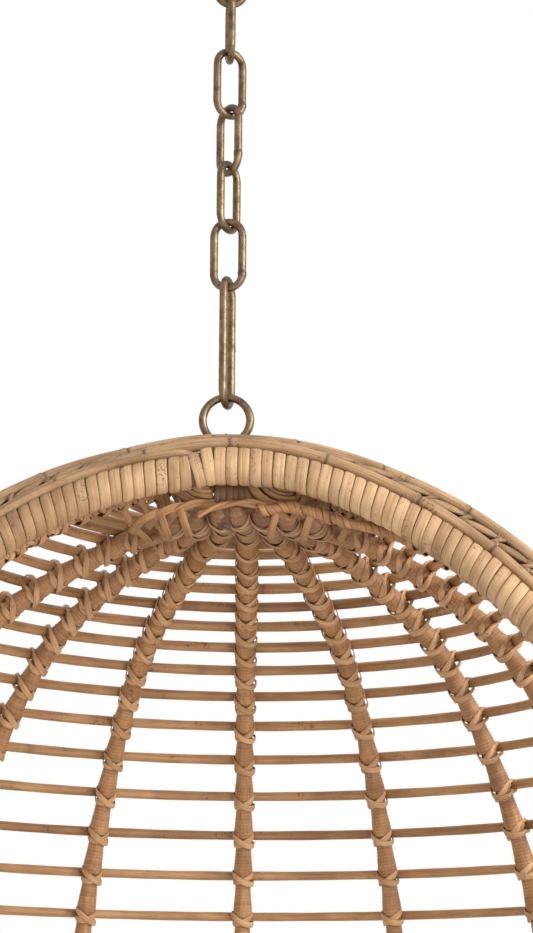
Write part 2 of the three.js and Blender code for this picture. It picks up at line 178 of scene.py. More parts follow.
class Bunch:
    """Strands gathered into one mesh. Each point carries what the materials read: its place along and across
    the strand (grain), how light the strand is (tone, which on the front hoop's left also holds painted
    shade) and how dark that point is (dark: real marks at nodes and welds, and painted shade at strip edges,
    winding grooves, in the edge groove and round the crown)."""

    def __init__(self, base=CHAIR):
        self.base, self.count = base, 0
        self.points, self.faces, self.grain, self.tone, self.dark = [], [], [], [], []

    def strand(self, path, ref, section, closed=False, scale=1.0, tone=None, dark=0.0):
        """Sweeps a section along a path, with the section's first axis turned towards ref."""
        path = np.asarray(path, float)
        n, k = len(path), len(section)
        if closed:
            tangent = unit(np.roll(path, -1, 0) - np.roll(path, 1, 0))
        else:
            tangent = unit(np.gradient(path, axis=0))
        u = squared(ref, tangent)
        v = np.cross(tangent, u)
        size = np.asarray(scale, float)
        size = size[:, None, None] if size.ndim == 1 else size
        flat = section[None] * size * np.ones((n, 1, 1))
        points = path[:, None] + u[:, None] * flat[..., :1] + v[:, None] * flat[..., 1:]
        run = np.broadcast_to(lengths_along(path)[:, None, None], (n, k, 1))
        grain = np.concatenate([run, flat], -1)
        shade = rng.random() if tone is None else tone
        self.points.append(points.reshape(-1, 3))
        self.grain.append((grain + rng.random(3) * 900).reshape(-1, 3))
        self.tone.append(np.broadcast_to(shade, n * k).astype(float))
        dark = np.asarray(dark, float)
        dark = dark[:, None] if dark.ndim == 1 and len(dark) == n else dark
        self.dark.append(np.broadcast_to(dark, (n, k)).reshape(-1).astype(float))
        rows = n if closed else n - 1
        i, j = np.meshgrid(np.arange(rows), np.arange(k), indexing="ij")
        a, b = i * k + j, i * k + (j + 1) % k
        c, d = ((i + 1) % n) * k + (j + 1) % k, ((i + 1) % n) * k + j
        self.faces += (np.stack([a, b, c, d], -1).reshape(-1, 4) + self.count).tolist()
        if not closed:
            self.faces.append([self.count + x for x in reversed(range(k))])
            self.faces.append([self.count + (n - 1) * k + x for x in range(k)])
        self.count += n * k

    def build(self, name, body, material, slot, *nodes):
        """Makes the piece, which rides on a body and stands for the given CAD nodes."""
        mesh = bpy.data.meshes.new(name)
        mesh.from_pydata(((np.concatenate(self.points) + self.base) / 1000).tolist(), [], self.faces)
        for label, kind, data in (("grain", "FLOAT_VECTOR", self.grain), ("tone", "FLOAT", self.tone),
                                  ("dark", "FLOAT", self.dark)):
            attribute = mesh.attributes.new(label, kind, "POINT")
            field = "vector" if kind == "FLOAT_VECTOR" else "value"
            attribute.data.foreach_set(field, np.concatenate(data).astype(np.float32).ravel())
        mesh.shade_smooth()
        mesh.materials.append(material)
        piece = bpy.data.objects.new(name, mesh)
        bpy.context.scene.collection.objects.link(piece)
        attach(piece, body)
        if nodes:
            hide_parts(*nodes)


def wind(bunch, line, radius, pitch, width, thick, lean, segments=20, ref=(0, 1, 0), loose=0.2, tone=None):
    """Winds separate turns of flat cane round a line. Each turn's ends meet on ref's side."""
    turns = round(line.length / pitch)
    pitch = line.length / turns
    share = np.linspace(0, 1, segments + 1)
    around = share * 2 * math.pi
    edge = np.array([0.9, 0.5, 0.1, 0, 0, 0, 0, 0.1, 0.5, 0.9])    # painted shade: a strip darkens towards its edges, where it meets the next
    for i in range(turns):
        middle = (i + 0.5) * pitch
        slant = lean(middle) if callable(lean) else lean
        s = middle + slant * (share - 0.5) * pitch + rng.normal(0, 0.02) * pitch
        tangent = line.tangent(s)
        e1 = squared(ref, tangent)
        e2 = np.cross(tangent, e1)
        reach = (radius(s) if callable(radius) else radius) + rng.normal(0, loose)
        reach = np.broadcast_to(reach, s.shape)[:, None]
        path = line.at(s) + reach * (np.cos(around)[:, None] * e1 + np.sin(around)[:, None] * e2)
        bunch.strand(path, tangent, strip(width * rng.normal(1, 0.015), thick),
                     tone=tone and tone(middle), dark=edge[None, :])


def binding(bunch, centre, across, along, out, rib_r, rod_r, apart, side, lift, sag, width, thick, dark):
    """A tight loop of flat cane that ties a rib to a rod, which lies `apart` behind it on the side of out.

    It slants down over the rib's face, passes below the rod and goes back over the rod's far side.
    """
    rib_r, rise = rib_r + lift, rod_r + lift + 0.6
    t = np.radians(np.linspace(-90, 90, 15))
    face = np.stack([rib_r * np.sin(t), -rib_r * np.cos(t), 0.78 * rise * np.sin(t) + sag * np.cos(t)], -1)
    top = rod_r + lift
    half = np.array([(0.76 * rib_r, 0.5 * apart, 0.82 * rise), (0.5 * rib_r, 0.92 * apart, 0.85 * rise),
                     (0.26 * rib_r, apart + 0.8 * top, 0.45 * rise), (0, apart + top, 0)])
    loop = np.vstack([face, half, half[-2::-1] * [-1, 1, -1]])
    path = centre + side * loop[:, :1] * across + loop[:, 1:2] * out + loop[:, 2:] * along
    outer = side * loop[:, :1] * across + (loop[:, 1:2] - np.clip(loop[:, 1:2], 0, apart)) * out
    # painted shade: the loop darkens towards its edges, on top of the dark it is given
    edge = np.array([0.75, 0.4, 0.08, 0, 0, 0, 0, 0.08, 0.4, 0.75]) + dark
    tangent = unit(np.roll(path, -1, 0) - np.roll(path, 1, 0))
    size = np.full(len(loop), 0.58)
    size[: len(t)] = mix(0.58, 1, smooth((math.pi / 2 - np.abs(t)) / 0.7))
    bunch.strand(path, np.cross(outer, tangent), strip(width, thick), closed=True, scale=size,
                 tone=rng.uniform(0.55, 1), dark=np.minimum(edge, 1)[None, :])


def cross_ties(bunch, centre, across, along, out, rib_r, rod_r, apart, width, sag=7.0, dark=0.0):
    """The two crossed loops of cane that tie a rod to a rib."""
    thick = 1.5
    for side, lift in ((1, 0.2), (-1, 1.4)):
        place = centre + along * rng.normal(0, 0.3)
        binding(bunch, place, across, along, out, rib_r, rod_r + rng.uniform(0, 0.6), apart, side, lift,
                sag + rng.normal(0, 0.7), width * rng.normal(1, 0.05), thick, dark)


# ---- The chair's shape, as in the CAD source ----
def rim(angle, out=0.0, back=0.0):
    """The front hoop's middle line, or one outside it and behind it. The angle starts at the top."""
    upper = np.where(np.cos(angle) > 0, UPPER, LOWER)
    z = (upper + out) * np.cos(angle) - UPPER
    return np.stack([RIM_X + (HALF_WIDTH + out) * np.sin(angle), LEAN * z + back, z], -1)


def rim_place(angle, out, back):
    """A point on a hoop, and the way that the hoop runs there."""
    centre = rim(angle, out, back)
    return centre, unit(rim(angle + 0.01, out, back) - centre)


def crown_rise(angle, left, start, right, fall):
    """How far the hoops and poles are raised at the crown, from 0 to 1."""
    x = RIM_X + HALF_WIDTH * np.sin(angle)
    return np.where(np.cos(angle) > 0, smooth((x - left) / start) * smooth((right - x) / fall), 0)


def round_angles(count):
    """Angles once round the rim from its foot, and how far each is from the crown."""
    angle = math.pi + np.arange(count) / count * 2 * math.pi
    return angle, np.abs(np.mod(angle + math.pi, 2 * math.pi) - math.pi)


def rim_line(top, side, rise=CROWN_LIFT):
    """A line round the rim, from its reach outside the hoop and set-back at the top and at the sides."""
    angle, turn = round_angles(RIM_POINTS)
    spread = smooth(turn / POLE_SPREAD)
    lift = rise * crown_rise(angle, -110, 100, 190, 150)
    return Line(rim(angle, mix(top[0], side[0], spread) + lift, mix(top[1], side[1], spread)), closed=True)


def back_line():
    """The shell's middle line: a Catmull-Rom curve through the points of BACK, as the CAD source has it."""
    points = []
    last = len(BACK) - 1
    for t in np.linspace(0, last, 4001):
        i = min(int(t), last - 1)
        w = t - i
        p0, p1, p2, p3 = BACK[max(i - 1, 0)], BACK[i], BACK[i + 1], BACK[min(i + 2, last)]
        v0, v1 = (p2 - p0) / 2, (p3 - p1) / 2
        cubic, square = 2 * p1 - 2 * p2 + v0 + v1, -3 * p1 + 3 * p2 - 2 * v0 - v1
        points.append(cubic * w**3 + square * w**2 + v0 * w + p1)
    points = np.array(points)
    return Line(np.column_stack([np.zeros(len(points)), points]))


PROFILE = back_line()


def axis_back(z):
    """How far back the axis lies from which the ribs fan out."""
    return LEAN * z + mix(AXIS_TOP, AXIS_BOTTOM, smooth((-z - UPPER) / LOWER))


def shell_point(run, phi):
    """A point of the shell, from the run along its middle line and the angle round its axis."""
    line = PROFILE.at(run)
    y, z = line[..., 1], line[..., 2]
    axis = axis_back(z)
    depth = y - axis
    upper = np.where(z > -UPPER, UPPER, LOWER)
    ratio = np.minimum(1, np.abs(z + UPPER) / (upper + SHELL_OUT))
    edge = (HALF_WIDTH + SHELL_OUT) * np.sqrt(1 - ratio**2)
    half = np.where(z > -UPPER, np.minimum(edge, CROWN_RATIO * depth), edge)
    held = np.abs(np.sin(phi)) ** EDGE_HOLD * smooth((depth - HUB_R) / (2 * HUB_R))
    shift = CROWN_SHIFT * (1 - smooth((-z - SHIFT_FROM) / SHIFT_OVER)) * (1 - held)
    return np.stack([RIM_X + half * np.sin(phi) + shift, axis + depth * np.cos(phi), z + 0 * phi], -1)


def shell_normal(run, phi, step=4.0, turn=0.004):
    along = shell_point(run + step, phi) - shell_point(run - step, phi)
    around = shell_point(run, phi + turn) - shell_point(run, phi - turn)
    return unit(np.cross(around, along))


def rib_angle(run, angles):
    """A rib leaves the hub at its first angle, runs pinched over the crown and opens to its second angle."""
    gone = run - RIB_START
    pinch = RIB_PINCH * (1 - smooth(gone / RIB_PINCH_FADE))
    return np.radians(mix(angles[0], angles[1] * (1 - pinch), smooth(gone / RIB_FAN)))


def rib_point(run, angles):
    phi = rib_angle(run, angles)
    return shell_point(run, phi) - RIB_INSET * shell_normal(run, phi)


def rod_runs():
    """The rods' places along the shell's middle line, closer together at the crown."""
    runs, run = [], ROD_FIRST
    while run < PROFILE.length - ROD_PITCH_LOW / 2 and len(runs) < ROD_COUNT:
        runs.append(run)
        run += mix(ROD_PITCH_TOP, ROD_PITCH_LOW, smooth((len(runs) - 4) / 8))
    return runs


def rod_path(run, limit=90.0, count=121):
    """A rod level round the shell, as far as the limit on each side. A whole rod has straight ends."""
    s = np.linspace(-1, 1, count) / ROD_BEND
    phi = np.clip(s, -1, 1) * math.radians(limit)
    path = shell_point(np.full(count, run), phi)
    if limit == 90:
        z = path[0, 2]
        straight = axis_back(z) - LEAN * z - ROD_FRONT
        path[:, 1] -= straight * np.maximum(0, np.abs(s) - 1) / (1 / ROD_BEND - 1)
    return path


def rod_radius(i):
    return mix(ROD_TOP, ROD_LOW, smooth(max(i, 0) / 19))


# ---- Materials ----
class Tree:
    """Short ways to add nodes to a material."""

    def __init__(self, name):
        self.material = bpy.data.materials.new(name)
        self.material.use_nodes = True
        self.nodes, self.links = self.material.node_tree.nodes, self.material.node_tree.links
        self.shader = self.nodes["Principled BSDF"]

    def put(self, socket, value):
        if isinstance(value, bpy.types.NodeSocket):
            self.links.new(value, socket)
        else:
            socket.default_value = value

    def attribute(self, name, output="Fac"):
        node = self.nodes.new("ShaderNodeAttribute")
        node.attribute_name = name
        return node.outputs[output]

    def noise(self, vector, stretch, detail=3.0, roughness=0.55, shift=(0, 0, 0)):
        scaled = self.nodes.new("ShaderNodeVectorMath")
        scaled.operation = "MULTIPLY_ADD"
        self.put(scaled.inputs[0], vector)
        scaled.inputs[1].default_value = stretch
        scaled.inputs[2].default_value = shift
        node = self.nodes.new("ShaderNodeTexNoise")
        node.inputs["Scale"].default_value = 1.0
        node.inputs["Detail"].default_value = detail
        node.inputs["Roughness"].default_value = roughness
        self.links.new(scaled.outputs[0], node.inputs["Vector"])
        return node.outputs["Fac"]

    def ramp(self, fac, stops):
        node = self.nodes.new("ShaderNodeValToRGB")
        ramp = node.color_ramp
        while len(ramp.elements) < len(stops):
            ramp.elements.new(0.5)
        for element, (place, colour) in zip(ramp.elements, stops):
            element.position = place
            element.color = (*colour, 1) if hasattr(colour, "__len__") else (colour, colour, colour, 1)
        self.put(node.inputs[0], fac)
        return node.outputs["Color"]

    def blend(self, fac, a, b, kind="MIX"):
        node = self.nodes.new("ShaderNodeMix")
        node.data_type, node.blend_type = "RGBA", kind
        self.put(node.inputs["Factor"], fac)
        self.put(node.inputs["A"], a)
        self.put(node.inputs["B"], b)
        return node.outputs["Result"]

    def math(self, kind, a, b):
        node = self.nodes.new("ShaderNodeMath")
        node.operation = kind
        self.put(node.inputs[0], a)
        self.put(node.inputs[1], b)
        return node.outputs[0]

    def finish(self, colour, roughness, height, strength, distance):
        self.put(self.shader.inputs["Base Color"], colour)
        self.put(self.shader.inputs["Roughness"], roughness)
        node = self.nodes.new("ShaderNodeBump")
        node.inputs["Strength"].default_value = strength
        node.inputs["Distance"].default_value = distance
        self.put(node.inputs["Height"], height)
        self.links.new(node.outputs[0], self.shader.inputs["Normal"])
        return self.material


def cane(name, pale, mid, deep, specks=0.7, gloss=0.5, split=0.66):
    """Peeled rattan: long fibres, slow blotches, splits, dark specks and scars. Grain is in millimetres."""
    t = Tree(name)
    grain = t.attribute("grain", "Vector")
    fibres = t.noise(grain, (0.012, 1.5, 1.5), 4.0, 0.62)
    wide = t.noise(grain, (0.02, 0.28, 0.28), 2.0, 0.5, (31, 7, 3))
    blotch = t.noise(grain, (0.018, 0.03, 0.03), 3.0, 0.6, (5, 50, 9))
    splits = t.noise(grain, (0.008, 1.1, 1.1), 2.0, 0.5, (70, 2, 40))
    splits = t.ramp(splits, [(split, 0.0), (split + 0.05, 1.0)])
    spots = t.noise(grain, (0.16, 0.5, 0.5), 2.0, 0.6, (9, 90, 60))
    spots = t.ramp(spots, [(specks, 0.0), (specks + 0.06, 1.0)])
    colour = t.ramp(fibres, [(0.32, deep), (0.5, mid), (0.68, pale)])
    colour = t.blend(t.ramp(wide, [(0.35, 0.0), (0.65, 0.5)]), colour, (*pale, 1))
    colour = t.blend(t.ramp(blotch, [(0.42, 0.0), (0.66, 0.55)]), colour, (*deep, 1))
    shade = t.ramp(t.attribute("tone"), [(0.0, (0.66, 0.60, 0.54)), (0.35, (0.90, 0.88, 0.85)),
                                         (1.0, (1.04, 1.04, 1.04))])
    colour = t.blend(1.0, colour, shade, "MULTIPLY")
    brown = tuple(x * 0.28 for x in deep)
    colour = t.blend(t.math("MULTIPLY", splits, 0.5), colour, (*brown, 1))
    colour = t.blend(t.math("MULTIPLY", spots, 0.75), colour, (*brown, 1))
    patches = t.ramp(t.noise(grain, (0.03, 0.05, 0.05), 2.0, 0.5, (60, 20, 4)), [(0.59, 0.0), (0.68, 1.0)])
    scars = t.ramp(t.noise(grain, (0.42, 0.22, 0.22), 3.0, 0.6, (2, 33, 80)), [(0.52, 0.0), (0.6, 0.75)])
    colour = t.blend(t.math("MULTIPLY", patches, scars), colour, (*brown, 1))
    # the dark attribute: real node and weld marks, and painted shade at strip edges, grooves and round the
    # crown
    colour = t.blend(t.math("MULTIPLY", t.attribute("dark"), 0.8), colour, (*brown, 1))
    rough = t.math("ADD", t.math("MULTIPLY", fibres, -0.25), gloss + 0.14)
    height = t.math("SUBTRACT", fibres, t.math("MULTIPLY", splits, 0.6))
    t.shader.inputs["Specular IOR Level"].default_value = 0.4
    return t.finish(colour, rough, height, 0.55, 0.0005)


def bronze(name, bright, dark, rub=0.5, roughness=0.36):
    """Antique bronze: dark patina, rubbed through to warm metal in fine patches."""
    t = Tree(name)
    grain = t.attribute("grain", "Vector")
    patch = t.noise(grain, (0.09, 0.16, 0.16), 4.0, 0.65)
    fine = t.noise(grain, (0.9, 1.4, 1.4), 3.0, 0.7, (4, 4, 9))
    worn = t.math("ADD", t.math("MULTIPLY", patch, 0.6), t.math("MULTIPLY", fine, 0.4))
    middle = tuple((a + b) / 2 for a, b in zip(bright, dark))
    colour = t.ramp(worn, [(rub - 0.14, dark), (rub, middle), (rub + 0.13, bright)])
    colour = t.blend(t.math("MULTIPLY", t.attribute("dark"), 0.8), colour, (*(x * 0.25 for x in dark), 1))
    rough = t.math("ADD", t.math("MULTIPLY", fine, 0.3), roughness - 0.1)
    t.shader.inputs["Metallic"].default_value = 0.85
    return t.finish(colour, rough, fine, 0.25, 0.0004)


def plain_steel():
    """Zinc-plated steel for the small CAD nodes, which carry no grain attribute."""
    t = Tree("plated_steel")
    place = t.nodes.new("ShaderNodeTexCoord").outputs["Object"]
    fine = t.noise(place, (900, 900, 900), 3.0, 0.6)
    colour = t.ramp(fine, [(0.3, (0.08, 0.07, 0.06)), (0.7, (0.2, 0.18, 0.15))])
    rough = t.math("ADD", t.math("MULTIPLY", fine, 0.3), 0.4)
    t.shader.inputs["Metallic"].default_value = 0.8
    return t.finish(colour, rough, fine, 0.2, 0.0003)


LIGHT = cane("light_cane", (0.58, 0.385, 0.21), (0.44, 0.27, 0.13), (0.24, 0.12, 0.048), 0.66)
POLE = cane("pole_cane", (0.46, 0.295, 0.155), (0.32, 0.185, 0.088), (0.16, 0.078, 0.03), 0.66)
RIB = cane("rib_cane", (0.56, 0.305, 0.13), (0.42, 0.205, 0.078), (0.24, 0.10, 0.034), 0.71)
TIE = cane("tie_cane", (0.63, 0.385, 0.20), (0.48, 0.265, 0.118), (0.25, 0.115, 0.044), 0.71)
ROD = cane("rod_cane", (0.55, 0.31, 0.132), (0.415, 0.216, 0.084), (0.245, 0.11, 0.04), 0.72, 0.46)
CORE = cane("core_cane", (0.20, 0.11, 0.05), (0.13, 0.065, 0.028), (0.07, 0.032, 0.013), 0.75, 0.7)
BRONZE = bronze("antique_bronze", (0.27, 0.18, 0.10), (0.055, 0.035, 0.018))
STEEL = plain_steel()


# ---- Hoops and poles ----
def front_hoop():
    """The hoop is bound thicker and stands higher at the crown, where it hangs."""
    angle, _ = round_angles(RIM_POINTS)
    raised = crown_rise(angle, -40, 30, 190, 150)
    line = Line(rim(angle, CROWN_LIFT * raised, -1.0 * raised), closed=True)
    thick = 15.6 + 1.6 * crown_rise(angle, -38, 22, 64, 30)

    def radius(s):
        return np.interp(np.mod(s, line.length), line.run[:-1], thick) + 0.2 * np.sin(s / 71)

    def lean(s):
        return mix(-1.6, 1.6, smooth((line.at(s)[0] + 170) / 320))

    def tone(s):
        # painted shade: strips on the hoop's left, away from the key light, get a lower tone
        left_shade = smooth((-80 - line.at(s)[0]) / 110)
        return rng.uniform(0.06, 1) * (1 - 0.97 * left_shade) - 0.06 * left_shade

    bunch = Bunch()
    wind(bunch, line, radius, 12.1, 11.9, 2.3, lean, segments=24, tone=tone)
    bunch.build("front_hoop_binding", "chair", LIGHT, "light_cane", "front_hoop")
    core = Bunch()
    s = np.linspace(0, line.length, 500)[:-1]
    core.strand(line.at(s), (0, 1, 0), circle(1.0, 20), closed=True, scale=radius(s) - 0.1, tone=0.4)
    core.build("front_hoop_core", "chair", CORE, "light_cane")


def node_places(length, first, low, high):
    """Places of a cane's growth nodes along it, at random steps from low to high."""
    places = [first]
    while places[-1] < length - high:
        places.append(places[-1] + rng.uniform(low, high))
    return places


def edge_poles():
    for name, (radius, top, side) in POLES.items():
        line = rim_line(top, side)
        s = np.linspace(0, line.length, 2801)[:-1]
        scale = 1 + 0.02 * np.sin(s / 43 + radius) + 0.012 * np.sin(s / 17)
        dark = np.zeros(len(s))
        for place in node_places(line.length, 60 + 9 * radius, 82, 108):
            scale += 0.10 * bump(s, place - 1.5, 4.0) - 0.16 * bump(s, place + 1.2, 1.5)
            dark += rng.uniform(0.8, 1.3) * bump(s, place + 1.2, 1.9)
        bunch = Bunch()
        bunch.strand(line.at(s), (0, 1, 0), circle(radius, 14), closed=True, scale=scale, tone=0.8,
                     dark=np.minimum(dark, 1))
        bunch.build(name + "_cane", "chair", POLE, "light_cane", name)


def edge_pole_filler():
    """A short pole that fills the gap above the hoop at the left of the crown."""
    angle = np.radians(np.linspace(-74, -1.5, 260))
    share = smooth((angle - angle[0]) / 0.5) * smooth((angle[-1] - angle) / 0.06)
    path = rim(angle, mix(20, 21, share), mix(16, -6, share))
    bunch = Bunch()
    bunch.strand(path, (0, 1, 0), circle(4.6, 12), scale=0.5 + 0.5 * share, tone=0.5)
    bunch.build("edge_pole_filler", "chair", POLE, "light_cane")


def groove_leaf(bunch, line, poles, i, pitch):
    """One leaf-shaped strand, which crosses slowly from one pole to the other."""
    t = np.linspace(0, 1, 16)
    swell = np.sin(math.pi * t)
    s = (i + 0.5 + (t - 0.5) * 1.12) * pitch
    a, b = (pole.at(s / line.length * pole.length) for pole in poles)
    side = unit(b - a)
    path = line.at(s) + side * (4.2 * (t - 0.5) * 2)[:, None] + FRONT * (1.6 * swell)[:, None]
    width = 0.3 + 0.7 * swell**0.8
    # painted shade: a leaf darkens towards its ends, where it sinks into the groove
    bunch.strand(path, side, circle(4.1, 10) * [1, 0.62], scale=width * rng.uniform(0.9, 1.1),
                 tone=rng.uniform(0.3, 0.9), dark=0.1 + 0.5 * (1 - swell))


def groove_knot(bunch, line, poles, s):
    """Three crossed strands round the place where two leaves meet."""
    a, b = (pole.at(s / line.length * pole.length) for pole in poles)
    tangent = line.tangent(s)
    t = np.linspace(0, 1, 10)[:, None]
    for turn in (1, -1, 0):
        slant = (turn * 4.5 + rng.normal(0, 0.8)) * tangent
        path = mix(mix(a, b, 0.2) - slant, mix(a, b, 0.8) + slant, t)
        path = path + FRONT * (4.0 + 1.2 * turn) * np.sin(math.pi * t)
        bunch.strand(path, tangent, circle(2.2, 8), tone=rng.uniform(0.0, 0.5), dark=0.35)


def edge_lacing():
    """Leaves of cane lie across the groove between the front two poles, knotted where they meet."""
    line = rim_line(*LACING)
    poles = [rim_line(*POLES[name][1:]) for name in ("edge_pole_front", "edge_pole_middle")]
    leaves, knots = Bunch(), Bunch()
    count = round(line.length / LEAF_PITCH)
    pitch = line.length / count
    for i in range(count):
        groove_leaf(leaves, line, poles, i, pitch)
        groove_knot(knots, line, poles, i * pitch)
    leaves.build("edge_lacing_strand", "chair", POLE, "light_cane", "edge_lacing")
    knots.build("edge_lacing_knots", "chair", POLE, "light_cane")


def groove_floor():
    """A dark strip behind the lacing, which closes the groove between the poles: painted shade for the
    groove's depth.
    """
    angle, turn = round_angles(900)
    spread = smooth(turn / POLE_SPREAD)
    path = rim(angle, mix(33, 37, spread), mix(14, 17, spread))
    bunch = Bunch()
    bunch.strand(path, rim(angle, 47, 15) - rim(angle, 25, 6), strip(17, 1.4), closed=True,
                 scale=mix(0.4, 1, spread), tone=0.0, dark=0.6)
    bunch.build("edge_groove_floor", "chair", CORE, "rib_cane")


def shell_hoop():
    line = rim_line((0, HOOP_BACK), (0, HOOP_BACK), rise=0)
    bunch = Bunch()
    wind(bunch, line, 9.7, 8.6, 8.3, 1.7, 1.2, segments=14, ref=(0, -1, 0))
    bunch.build("shell_hoop_binding", "chair", RIB, "rib_cane", "shell_hoop")
    core = Bunch()
    s = np.linspace(0, line.length, 360)[:-1]
    core.strand(line.at(s), (0, 1, 0), circle(9.6, 12), closed=True, tone=0.4)
    core.build("shell_hoop_core", "chair", CORE, "rib_cane")


# ---- Shell ----
RUNS = rod_runs()
CROWN_RUNS = [99.0, 119.0]            # the short rods over the crown that cross the ribs' ends
HIDDEN_RUNS = [34.0, 56.0, 78.0]      # and those between them and the hub


def to_shell_hoop(end, angle, out, count):
    """Points from a path's end on to the shell hoop, which is met at the given angle."""
    return mix(end, rim(angle, out, HOOP_BACK), np.linspace(0, 1, count)[1:, None])


def above(end):
    """The angle round the rim straight above a point."""
    return math.asin((end[0] - RIM_X) / HALF_WIDTH)


def rods():
    for i, run in enumerate(RUNS):
        path = Line(rod_path(run))
        s = np.linspace(0, path.length, 140)
        scale = rod_radius(i) * (1 + 0.03 * np.sin(s / 37 + i) + 0.02 * np.sin(s / 11 + 2 * i))
        dark = np.zeros(len(s))
        for place in node_places(path.length, rng.uniform(20, 200), 150, 320):
            dark += rng.uniform(0.1, 0.6) * bump(s, place, 2.5)
        bunch = Bunch()
        bunch.strand(path.at(s), (0, 0, 1), circle(1.0, 12), scale=scale, dark=dark)
        name = f"rod_{i + 1:02d}"
        nodes = [name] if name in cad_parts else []
        bunch.build(name + "_cane", "chair", ROD, "rod_cane", *nodes)


def crown_rods():
    """Short rods over the crown, carried on to the shell hoop at both ends."""
    bunch = Bunch()
    for run in HIDDEN_RUNS + CROWN_RUNS:
        path = rod_path(run, limit=86)
        for _ in range(2):
            path = np.vstack([path, to_shell_hoop(path[-1], above(path[-1]), 5, 8)])[::-1]
        bunch.strand(relax(path, 6), (0, 0, 1), circle(5.4, 10), dark=0.2)
    bunch.build("crown_rods", "chair", ROD, "rod_cane")


def rib_line(name):
    """A rib from its blunt end under the hub to its foot on the shell hoop.

    Also gives the rods' places along the shell's middle line and along the rib, and a function that turns a
    place along the rib into one along the middle line.
    """
    angles, tip = RIBS[name], np.array(RIB_TIPS[name], float)
    run = np.linspace(66, PROFILE.length, 900)
    path = rib_point(run, angles)
    t = np.linspace(0, 1, 50)[:-1, None]
    down = tip + [0.2 * (tip[0] - 12), 4, -25]
    back = path[0] - unit(path[1] - path[0]) * np.linalg.norm(path[0] - tip) * 0.5
    lead = (1 - t) ** 3 * tip + 3 * t * (1 - t) ** 2 * down + 3 * t**2 * (1 - t) * back + t**3 * path[0]
    tail = to_shell_hoop(path[-1], math.pi - above(path[-1]), -4, 12)
    line = Line(np.vstack([lead, path, tail]))
    crossings = np.array(CROWN_RUNS + RUNS)
    reach = line.run[len(lead):][: len(run)]
    return line, crossings, np.interp(crossings, run, reach), lambda s: np.interp(s, reach, run)


def rib_radius(s):
    """Bound thickest under the crown."""
    return mix(RIB_R_TOP, RIB_R_LOW, smooth((s - 80) / 420))


def rib_winding(name, line, marks, back):
    """Fine turns of cane round a rib, which swell to a barrel between one tie and the next."""
    turns = round(line.length / WINDING_PITCH)
    s = np.linspace(0, line.length, 2 * turns + 1)
    index = np.clip(np.searchsorted(marks, s), 1, len(marks) - 1)
    share = (s - marks[index - 1]) / (marks[index] - marks[index - 1])
    barrel = smooth(np.clip(share, 0, 1) * 1.4 - 0.3)
    even = np.arange(len(s)) % 2 == 0
    scale = rib_radius(s) - 1.3 + 2.1 * barrel + np.where(even, 0.28, -0.22) + rng.normal(0, 0.06, len(s))
    scale *= np.sqrt(np.clip(1 - (1 - s / BLUNT) ** 2, 0.02, 1) * (s < BLUNT) + (s >= BLUNT))
    out = shell_normal(back(s), rib_angle(back(s), RIBS[name]))
    tone = np.repeat(np.repeat(rng.uniform(0.15, 0.75, turns + 1), 2)[: len(s)], RIB_SIDES)
    # painted shade: the rib's end under the hub is darkened, fading out over its first 160 mm
    shade = 0.5 * (1 - smooth((s - 30) / 130))
    bunch = Bunch()
    # painted shade: every second ring of points, the groove between two turns, is darker
    bunch.strand(line.at(s), out, circle(1.0, RIB_SIDES), scale=scale, tone=tone,
                 dark=np.where(even, 0.0, 0.35) + shade)
    bunch.build(name + "_winding", "chair", RIB, "rib_cane", name)


def rib_ties(name, line, crossings, places, lead):
    """Crossed ties where rods cross a rib, and along its end under the crown."""
    bunch = Bunch()
    for k, (cross, place) in enumerate(zip(crossings, places)):
        if k == UNTIED:
            continue
        centre, along = line.at(place), line.tangent(place)
        cross = np.array([cross])
        outward = shell_normal(cross, rib_angle(cross, RIBS[name]))[0]
        outward = unit(outward - along * (outward @ along))
        radius = rib_radius(place)
        # painted shade: ties near the crown are darker, fading out by 240 mm along the rib
        shade = 0.3 * (1 - smooth((place - 90) / 150))
        cross_ties(bunch, centre, unit(np.cross(outward, along)), along, outward, radius + 0.3,
                   rod_radius(k - len(CROWN_RUNS)), RIB_INSET, width=0.68 * radius, sag=5.5, dark=shade)
    for place in lead:
        centre, along = line.at(place), line.tangent(place)
        across = unit(np.cross([0, 0.3, 1], along))
        # painted shade: the ties along the rib's end under the crown are darker
        cross_ties(bunch, centre, across, along, np.cross(along, across), rib_radius(place) + 0.4, 5, 9,
                   width=8, sag=9, dark=0.3)
    bunch.build(name + "_ties", "chair", TIE, "rib_cane")


def ribs():
    for name in RIBS:
        line, crossings, places, back = rib_line(name)
        lead = np.arange(19, places[0] - 25, 60)
        tied = np.delete(places, UNTIED)
        rib_winding(name, line, np.concatenate([[0], lead, tied, [line.length]]), back)
        rib_ties(name, line, crossings, places, lead)


def rod_end_ties():
    bunch = Bunch()
    for i, run in enumerate(RUNS):
        for end in rod_path(run)[[0, -1]]:
            height = UPPER if end[2] > -UPPER else LOWER
            angle = math.atan2((end[0] - RIM_X) / (HALF_WIDTH + SHELL_OUT),
                               (end[2] + UPPER) / (height + SHELL_OUT))
            centre, along = rim_place(angle, 0, HOOP_BACK)
            rod = np.array([end[0], centre[1], end[2]])
            outward = unit(rod - centre)
            apart = float(np.linalg.norm(rod - centre))
            cross_ties(bunch, centre, unit(np.cross(outward, along)), along, outward, 11.4, rod_radius(i),
                       apart, width=6.4)
    bunch.build("rod_end_ties", "chair", TIE, "rib_cane")


# ---- Crown ----
def view_strip(bunch, path, width=7.5, thick=1.4, **shade):
    """A flat strip through the given points, smoothed, whose face looks forwards and down."""
    line = Line(path)
    fine = relax(line.at(np.linspace(0, line.length, 24)), 4)
    tangent = unit(np.gradient(fine, axis=0))
    side = np.cross(np.broadcast_to([0, -0.8, -0.6], fine.shape), tangent)
    bunch.strand(fine, side, strip(width, thick), **shade)


